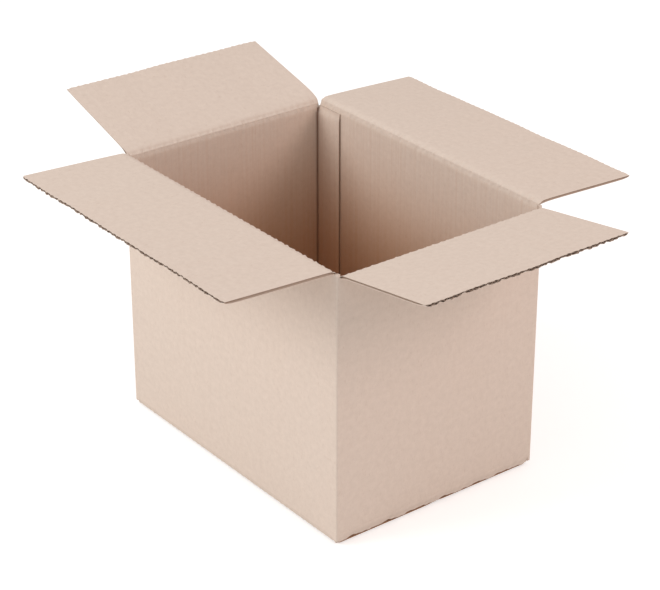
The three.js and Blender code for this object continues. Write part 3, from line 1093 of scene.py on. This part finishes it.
@dataclass
class WallStrip:
    """The long strip of the blank that is folded round into the walls, with the glue tab at its start.

    Attributes:
        sizes: Main sizes of the carton.
        turn_steps: Steps round each vertical fold.
        glue_gap: Room between the tab and the back wall.
        tall: Height above which a stretch needs many rows.
        tall_rows: Rows of points on such a stretch.
        short_rows: Rows on a lower one.
        tab_rows: Rows on the tab, up to where it flattens.
        tab_top: Length of the tab above those rows.
        tab_top_rows: Rows there, in millimetres from the tab's top edge.
        tab_drop: How far the tab reaches below the strip.
        bow: How far a wall swells out at its middle.
        bow_share: Share of the bow that is even.
        bow_waves: How the rest varies over the wall.
        bow_slant: How much those waves change across the wall, next to up it.
        fold_wear_and_highlight: How pale a fold's outer edge is, part rubbed wear and part painted
            highlight.
        pale_line_sharpness: How narrow that pale line is.
        pale_line_share: Share of the pale line that is even.
        pale_line_waves: How the rest varies up the fold.
        fold_corner_shade: How dark the painted shade in a fold's inner corner is.
        joint_corner_shade: The same where the tab is folded.
        joint_shade: Painted shade on the panels beside the tab's fold.
        joint_shade_reach: Width of that painted shade.
        tab_crush: Thickness lost at the tab's free edge.
        tab_crush_reach: How far from that edge the loss fades.
        tab_flat: Thickness of the tab at its flattened top.
        tab_flat_reach: Length over which it flattens.
        tab_flat_share: Share of that length in which the thickness changes.
    """

    sizes: CartonSizes
    turn_steps: int = 6
    glue_gap: float = 0.02 * MM
    tall: float = 50 * MM
    tall_rows: int = 22
    short_rows: int = 3
    tab_rows: int = 16
    tab_top: float = 12 * MM
    tab_top_rows: tuple[float, ...] = (9, 7.5, 6, 4.5, 3, 1.5, 0)
    tab_drop: float = 3.5 * MM
    bow: float = 0.5 * MM
    bow_share: float = 0.6
    bow_waves: Unevenness = Unevenness(0.4, 160 * MM, 0)
    bow_slant: float = 0.3
    # Pale line on the folds' outer edges: part rubbed wear, part painted highlight
    fold_wear_and_highlight: float = 0.3
    pale_line_sharpness: int = 6
    pale_line_share: float = 0.75
    pale_line_waves: Unevenness = Unevenness(0.25, 40 * MM, 9)
    # Painted shade in the folds' inner corners, darker at the tab's fold, and on the panels beside that fold
    fold_corner_shade: float = 0.4
    joint_corner_shade: float = 0.75
    joint_shade: float = 0.6
    joint_shade_reach: float = 1.2 * MM
    tab_crush: float = 1.0 * MM
    tab_crush_reach: float = 3.0 * MM
    tab_flat: float = 1.2 * MM
    tab_flat_reach: float = 9.0 * MM
    tab_flat_share: float = 0.9

    def path(self) -> list[Stretch]:
        """Walks the strip in plan from the tab's free edge to the back wall's raw end.

        Returns:
            The panels and the folds between them, in order.
        """
        s = self.sizes
        ix = s.half_length - BOARD.thickness
        iy = s.half_width - BOARD.thickness
        lip = s.setback - BOARD.thickness
        tab_y = iy - BOARD.thickness - self.glue_gap
        corners = [(-ix, tab_y), (-ix, -iy), (ix, -iy), (ix, iy)]
        headings = [(-1, 0), (0, -1), (1, 0), (0, 1), (-1, 0)]
        ends = [(-ix + s.tab_width, tab_y), *corners, (-s.half_length, iy)]
        stretches = []
        for number, name in enumerate(PANELS):
            is_last = number == len(corners)
            heading = np.array(headings[number], float)
            outward = np.array([heading[1], -heading[0]])
            start = np.array(ends[number], float) + (heading * lip if number else 0)
            stop = np.array(ends[number + 1], float) - (0 if is_last else heading * lip)
            low, high = float(start @ heading), float(stop @ heading)
            places = BOARD.stations(low, high)
            inner = start + (places - low)[:, None] * heading
            shift = number * WALL_SHIFT
            stretches.append(Stretch(name, inner, inner + BOARD.thickness * outward, places + shift))
            if not is_last:
                stretches.append(self._turn(number, np.array(corners[number]), heading, lip, high + shift))
        return stretches

    def _turn(self, number: int, corner: np.ndarray, heading: np.ndarray, lip: float,
              place: float) -> Stretch:
        """Makes one vertical fold, tight outside and sharp inside, with the short flat lips beside it.

        Args:
            number: Count of the fold along the strip.
            corner: Where the inner faces meet.
            heading: Direction of the strip before the fold.
            lip: Flat length on each side that belongs to the corner.
            place: Flute place where the fold starts.

        Returns:
            The fold.
        """
        s = self.sizes
        outward = np.array([heading[1], -heading[0]])
        angles = np.linspace(0.0, math.pi / 2, self.turn_steps + 1)
        directions = np.cos(angles)[:, None] * outward + np.sin(angles)[:, None] * heading
        inner = corner + s.fold_gap * (directions - outward - heading)
        reach = BOARD.thickness - s.fold_radius
        outer = corner + reach * (outward + heading) + s.fold_radius * directions
        before, after = corner - heading * lip, corner - outward * lip
        inner = np.vstack([before, inner, after])
        outer = np.vstack([before + outward * BOARD.thickness, outer, after + heading * BOARD.thickness])
        places = place + np.linspace(0, 2 * lip + BOARD.thickness, len(inner))
        return Stretch(f"fold_{number}", inner, outer, places)

    def patch(self, stretch: Stretch, low: float, high: float) -> Patch:
        """Raises a stretch of the plan between two heights, with the panels bowed out a little.

        Args:
            stretch: Part of the strip.
            low: Lowest height.
            high: Highest height.

        Returns:
            The patch of board.
        """
        places = stretch.places
        heights = self._heights(stretch, low, high)
        through = stretch.inner - stretch.outer
        reach = np.linalg.norm(through, axis=1)
        inward = np.concatenate([through / reach[:, None], np.zeros((len(places), 1))], axis=1)
        outer = np.concatenate([stretch.outer, np.zeros((len(places), 1))], axis=1)
        face = outer[None] + heights[:, None, None] * UP
        if not stretch.is_fold:
            rise = np.sin(math.pi * (heights - low) / (high - low))
            swell = np.outer(rise, np.sin(math.pi * stretch.share))
            slanted = heights[:, None] + places[None, :] * self.bow_slant
            ripple = self.bow_share + self.bow_waves.at(slanted, len(stretch.name))
            face = face - inward[None] * (self.bow * swell * ripple)[..., None]
        # Pale lines of rubbed wear and painted highlight, and painted shade, at the folds
        pale_wear_and_highlight, painted_shade = self._marks(stretch, heights)
        along = np.broadcast_to(heights[:, None], face.shape[:2])
        return Patch(
            face=face,
            inward=np.broadcast_to(inward, face.shape),
            depth=self._depth(stretch, reach, heights),
            across=places,
            along=along,
            pale_wear_and_highlight=pale_wear_and_highlight,
            painted_shade=painted_shade,
            # Painted shade of the flutes, full on the walls
            rib_shade=np.ones(face.shape[:2]),
            # Painted shade that tones the inner liner browner towards the bottom
            deep=inside_painted_shade(self.sizes.minor_crease - along),
        )

    def _heights(self, stretch: Stretch, low: float, high: float) -> np.ndarray:
        """Lists the heights of a stretch's rows.

        Args:
            stretch: Part of the strip.
            low: Lowest height.
            high: Highest height.

        Returns:
            The heights, rising.
        """
        if not stretch.is_tab:
            return np.linspace(low, high, self.tall_rows if high - low > self.tall else self.short_rows)
        top = high - np.array(self.tab_top_rows) * MM
        return np.concatenate([np.linspace(low, high - self.tab_top, self.tab_rows), top])

    def _depth(self, stretch: Stretch, reach: np.ndarray, heights: np.ndarray) -> np.ndarray:
        """Gives the board's thickness, less on the tab where its edge and top are crushed.

        Args:
            stretch: Part of the strip.
            reach: Distance between the faces at each column.
            heights: Height of each row.

        Returns:
            The thickness at each point.
        """
        depth = np.broadcast_to(reach, (len(heights), len(reach)))
        if not stretch.is_tab:
            return depth
        from_edge = stretch.places - stretch.places[0]
        depth = depth - self.tab_crush * fade(from_edge, self.tab_crush_reach)[None, :]
        above = heights - heights[-1] + self.tab_flat_reach
        flat = smooth(above / (self.tab_flat_share * self.tab_flat_reach))[:, None]
        return depth * (1 - flat) + self.tab_flat * flat

    def _marks(self, stretch: Stretch, heights: np.ndarray) -> tuple[np.ndarray, np.ndarray]:
        """Gives the pale lines, part rubbed wear and part painted highlight, and the painted shade at the
        vertical folds.

        Args:
            stretch: Part of the strip.
            heights: Height of each row.

        Returns:
            How pale and how darkened by painted shade each point is, from 0 to 1.
        """
        name, places = stretch.name, stretch.places
        pale_wear_and_highlight = np.zeros((len(heights), len(places)))
        painted_shade = np.zeros((len(heights), len(places)))
        if stretch.is_fold:
            # Pale line on the fold's outer edge: part rubbed wear, part painted highlight
            ridge = np.sin(math.pi * stretch.share) ** self.pale_line_sharpness
            uneven = self.pale_line_share + self.pale_line_waves.at(heights, 0)
            pale_wear_and_highlight = self.fold_wear_and_highlight * ridge[None, :] * uneven[:, None]
            # Painted shade in the fold's inner corner
            painted_shade = painted_shade + (self.joint_corner_shade if stretch.is_joint else self.fold_corner_shade)
        # Painted shade on the panels beside the tab's fold
        if name in ("tab", "left"):
            to_fold = places[-1] - places if stretch.is_tab else places - places[0]
            painted_shade = painted_shade + self.joint_shade * hump(to_fold, self.joint_shade_reach)[None, :]
        return pale_wear_and_highlight, painted_shade

    def build(self, materials: list[bpy.types.Material]) -> bpy.types.Object:
        """Makes the walls, folds, corner posts and glue tab as one piece.

        Args:
            materials: Liner and fluting materials.

        Returns:
            The new piece.
        """
        s = self.sizes
        maker = MeshMaker("wall_strip")
        for stretch in self.path():
            top = s.minor_crease - s.tab_top_rest if stretch.is_tab else s.strip_top
            low = s.strip_bottom - (self.tab_drop if stretch.is_tab else 0.0)
            maker.add(self.patch(stretch, low, top), sheets=stretch.is_tab)
            if stretch.is_fold:
                top = s.minor_crease - (s.joint_slot_depth if stretch.is_joint else s.slot_depth)
                maker.add(self.patch(stretch, s.strip_top, top), sheets=False)
                maker.add(self.patch(stretch, s.bottom_slot_rest, s.strip_bottom), sheets=False)
        piece = maker.build(materials)
        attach(piece, "carton")
        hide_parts("carton_body")
        return piece


@dataclass(frozen=True)
class Carton:
    """The whole carton: wall strip, four bottom flaps and four top flaps."""

    sizes: CartonSizes

    def sides(self) -> list[Side]:
        """Lists the four walls with the angles at which their flaps stand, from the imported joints.

        Returns:
            The walls, with the long ones first.
        """
        # A joint's lowest value closes its flap, a right angle inward from upright
        opened = {joint["child"]: -RIGHT_ANGLE - joint["range_deg"][0] for joint in frame["joints"]}
        # Name, direction, True for a long wall, droop, tightness, end crush and seed
        rows = [
            ("front", (0, -1), True, 3.0, 0.0, 0.0, 11),
            ("back", (0, 1), True, 6.0, 0.0, 0.4 * MM, 23),
            ("right", (1, 0), False, 3.0, 0.0, 0.8 * MM, 37),
            ("left", (-1, 0), False, 30.0, 0.7, 2.0 * MM, 41),
        ]
        return [
            Side(name, outward, major, opened[f"{name}_flap"], *rest, self.sizes)
            for name, outward, major, *rest in rows
        ]

    def build(self) -> list[bpy.types.Object]:
        """Builds every piece of the carton.

        Returns:
            The pieces.
        """
        materials = [KraftLiner().build(), FlutingPaper().build()]
        pieces = [WallStrip(self.sizes).build(materials)]
        for side in self.sides():
            pieces.append(FoldedPanel(side, Fold.INWARD).build(materials))
            pieces.append(FoldedPanel(side, Fold.OUTWARD).build(materials))
        return pieces


@dataclass(frozen=True)
class PhotoCamera:
    """Camera at the photograph's viewing angle, from a fit to the carton's edges.

    Attributes:
        place: Where it stands, in metres.
        azimuth: Angle round the carton from straight ahead, in degrees.
        elevation: Angle above the floor, in degrees.
        focal_pixels: Focal length, in pixels of the photograph.
        image_width: Width of the photograph, in pixels.
        sensor_width: Width of the sensor, in millimetres.
        farthest: Distance beyond which nothing shows, in metres.
    """

    place: tuple[float, float, float] = (1.3612, -1.0464, 1.0094)
    azimuth: float = 52.39
    elevation: float = 26.77
    focal_pixels: float = 2138.0
    image_width: int = 660
    sensor_width: float = 36.0
    farthest: float = 50.0

    def build(self) -> bpy.types.Object:
        """Adds the camera and makes it the scene's own.

        Returns:
            The camera's object.
        """
        data = bpy.data.cameras.new("photo_camera")
        data.sensor_width = self.sensor_width
        data.lens = self.focal_pixels / self.image_width * data.sensor_width
        data.clip_end = self.farthest
        camera = bpy.data.objects.new("photo_camera", data)
        turn = math.radians(self.azimuth)
        tilt = math.radians(self.elevation)
        look = Vector((-math.sin(turn) * math.cos(tilt), math.cos(turn) * math.cos(tilt), -math.sin(tilt)))
        camera.location = self.place
        camera.rotation_euler = look.to_track_quat("-Z", "Y").to_euler()
        bpy.context.scene.collection.objects.link(camera)
        bpy.context.scene.camera = camera
        return camera


@dataclass(frozen=True)
class SoftBox:
    """One soft studio lamp aimed at the carton.

    Attributes:
        name: Name of the lamp.
        place: Where it stands, in metres.
        size: Diameter of its disk, in metres.
        power: Its strength, in watts.
        tint: Colour of its light.
    """

    name: str
    place: tuple[float, float, float]
    size: float
    power: float
    tint: str = WHITE

    def build(self, target: Vector) -> bpy.types.Object:
        """Adds the lamp.

        Args:
            target: Point that the lamp faces.

        Returns:
            The lamp's object.
        """
        data = bpy.data.lights.new(self.name, "AREA")
        data.shape = "DISK"
        data.size = self.size
        data.energy = self.power
        data.color = linear(self.tint)[:3]
        lamp = bpy.data.objects.new(self.name, data)
        lamp.location = self.place
        lamp.rotation_euler = (target - lamp.location).to_track_quat("-Z", "Y").to_euler()
        bpy.context.scene.collection.objects.link(lamp)
        return lamp


@dataclass(frozen=True)
class Studio:
    """Pale floor, white surround and soft lamps.

    Attributes:
        floor_size: Length of the floor's side.
        ambient: Strength of the surround as a light.
        floor_glow: Light that makes the floor look white to the camera.
        floor_paint: Colour of the floor.
        floor_drop: How far the floor lies below the carton, so that the two don't flicker.
        lamp_aim: Point that the lamps face.
    """

    floor_size: float = 14.0
    ambient: float = 0.67
    floor_glow: float = 0.4
    floor_paint: str = "#ececec"
    floor_drop: float = 0.2 * MM
    lamp_aim: tuple[float, float, float] = (0.0, 0.0, 0.15)

    def build(self) -> None:
        """Adds the floor, the world and the lamps."""
        self._world()
        self._floor()
        target = Vector(self.lamp_aim)
        lamps = [
            SoftBox("left_lamp", place=(-0.72, -1.7, 1.2), size=1.1, power=17.5),
            SoftBox("right_lamp", place=(1.4, 1.0, 1.25), size=0.8, power=10.0, tint="#ffe6e0"),
        ]
        for lamp in lamps:
            lamp.build(target)

    def _seen(self, tree: bpy.types.NodeTree) -> bpy.types.NodeSocket:
        """Gives 1 for rays that see the surface from the camera, a reflection or glass.

        Args:
            tree: Node tree of the surface.

        Returns:
            The socket with that value.
        """
        path = add_node(tree, "ShaderNodeLightPath", {}, {})
        pair = add_node(tree, "ShaderNodeMath", {"operation": "MAXIMUM"},
                        {0: path.outputs["Is Camera Ray"], 1: path.outputs["Is Glossy Ray"]})
        both = add_node(tree, "ShaderNodeMath", {"operation": "MAXIMUM"},
                        {0: pair.outputs[0], 1: path.outputs["Is Transmission Ray"]})
        return both.outputs[0]

    def _world(self) -> None:
        """Makes the surround white to the eye and softer as a light."""
        world = bpy.data.worlds.new("studio_world")
        world.use_nodes = True
        tree = world.node_tree
        tree.nodes.clear()
        light = add_node(tree, "ShaderNodeBackground",
                         {"Color": linear(WHITE), "Strength": self.ambient}, {})
        white = add_node(tree, "ShaderNodeBackground", {"Color": linear(WHITE), "Strength": 1.0}, {})
        mix = add_node(tree, "ShaderNodeMixShader", {},
                       {0: self._seen(tree), 1: light.outputs[0], 2: white.outputs[0]})
        add_node(tree, "ShaderNodeOutputWorld", {}, {"Surface": mix.outputs[0]})
        bpy.context.scene.world = world

    def _floor(self) -> None:
        """Adds the floor, white where it is lit and a little darker in the carton's shadow."""
        mesh = bpy.data.meshes.new("studio_floor")
        half = self.floor_size / 2
        corners = [(-half, -half, 0), (half, -half, 0), (half, half, 0), (-half, half, 0)]
        mesh.from_pydata(corners, [], [(0, 1, 2, 3)])
        floor = bpy.data.objects.new("studio_floor", mesh)
        floor.location.z = -self.floor_drop
        bpy.context.scene.collection.objects.link(floor)
        material = bpy.data.materials.new("studio_floor")
        material.use_nodes = True
        tree = material.node_tree
        tree.nodes.clear()
        paint = add_node(tree, "ShaderNodeBsdfDiffuse", {"Color": linear(self.floor_paint)}, {})
        glow = add_node(tree, "ShaderNodeEmission", {"Strength": self.floor_glow}, {})
        lit = add_node(tree, "ShaderNodeAddShader", {}, {0: paint.outputs[0], 1: glow.outputs[0]})
        mix = add_node(tree, "ShaderNodeMixShader", {},
                       {0: self._seen(tree), 1: paint.outputs[0], 2: lit.outputs[0]})
        add_node(tree, "ShaderNodeOutputMaterial", {}, {"Surface": mix.outputs[0]})
        mesh.materials.append(material)


def main() -> None:
    """Builds the studio, the camera and the carton."""
    logging.basicConfig(level=logging.INFO)
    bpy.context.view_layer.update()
    bpy.context.scene.view_settings.view_transform = "Standard"
    PhotoCamera().build()
    Studio().build()
    for piece in Carton(CartonSizes.from_frame()).build():
        log.info("piece %s", piece.name)


if __name__ == "__main__":
    main()
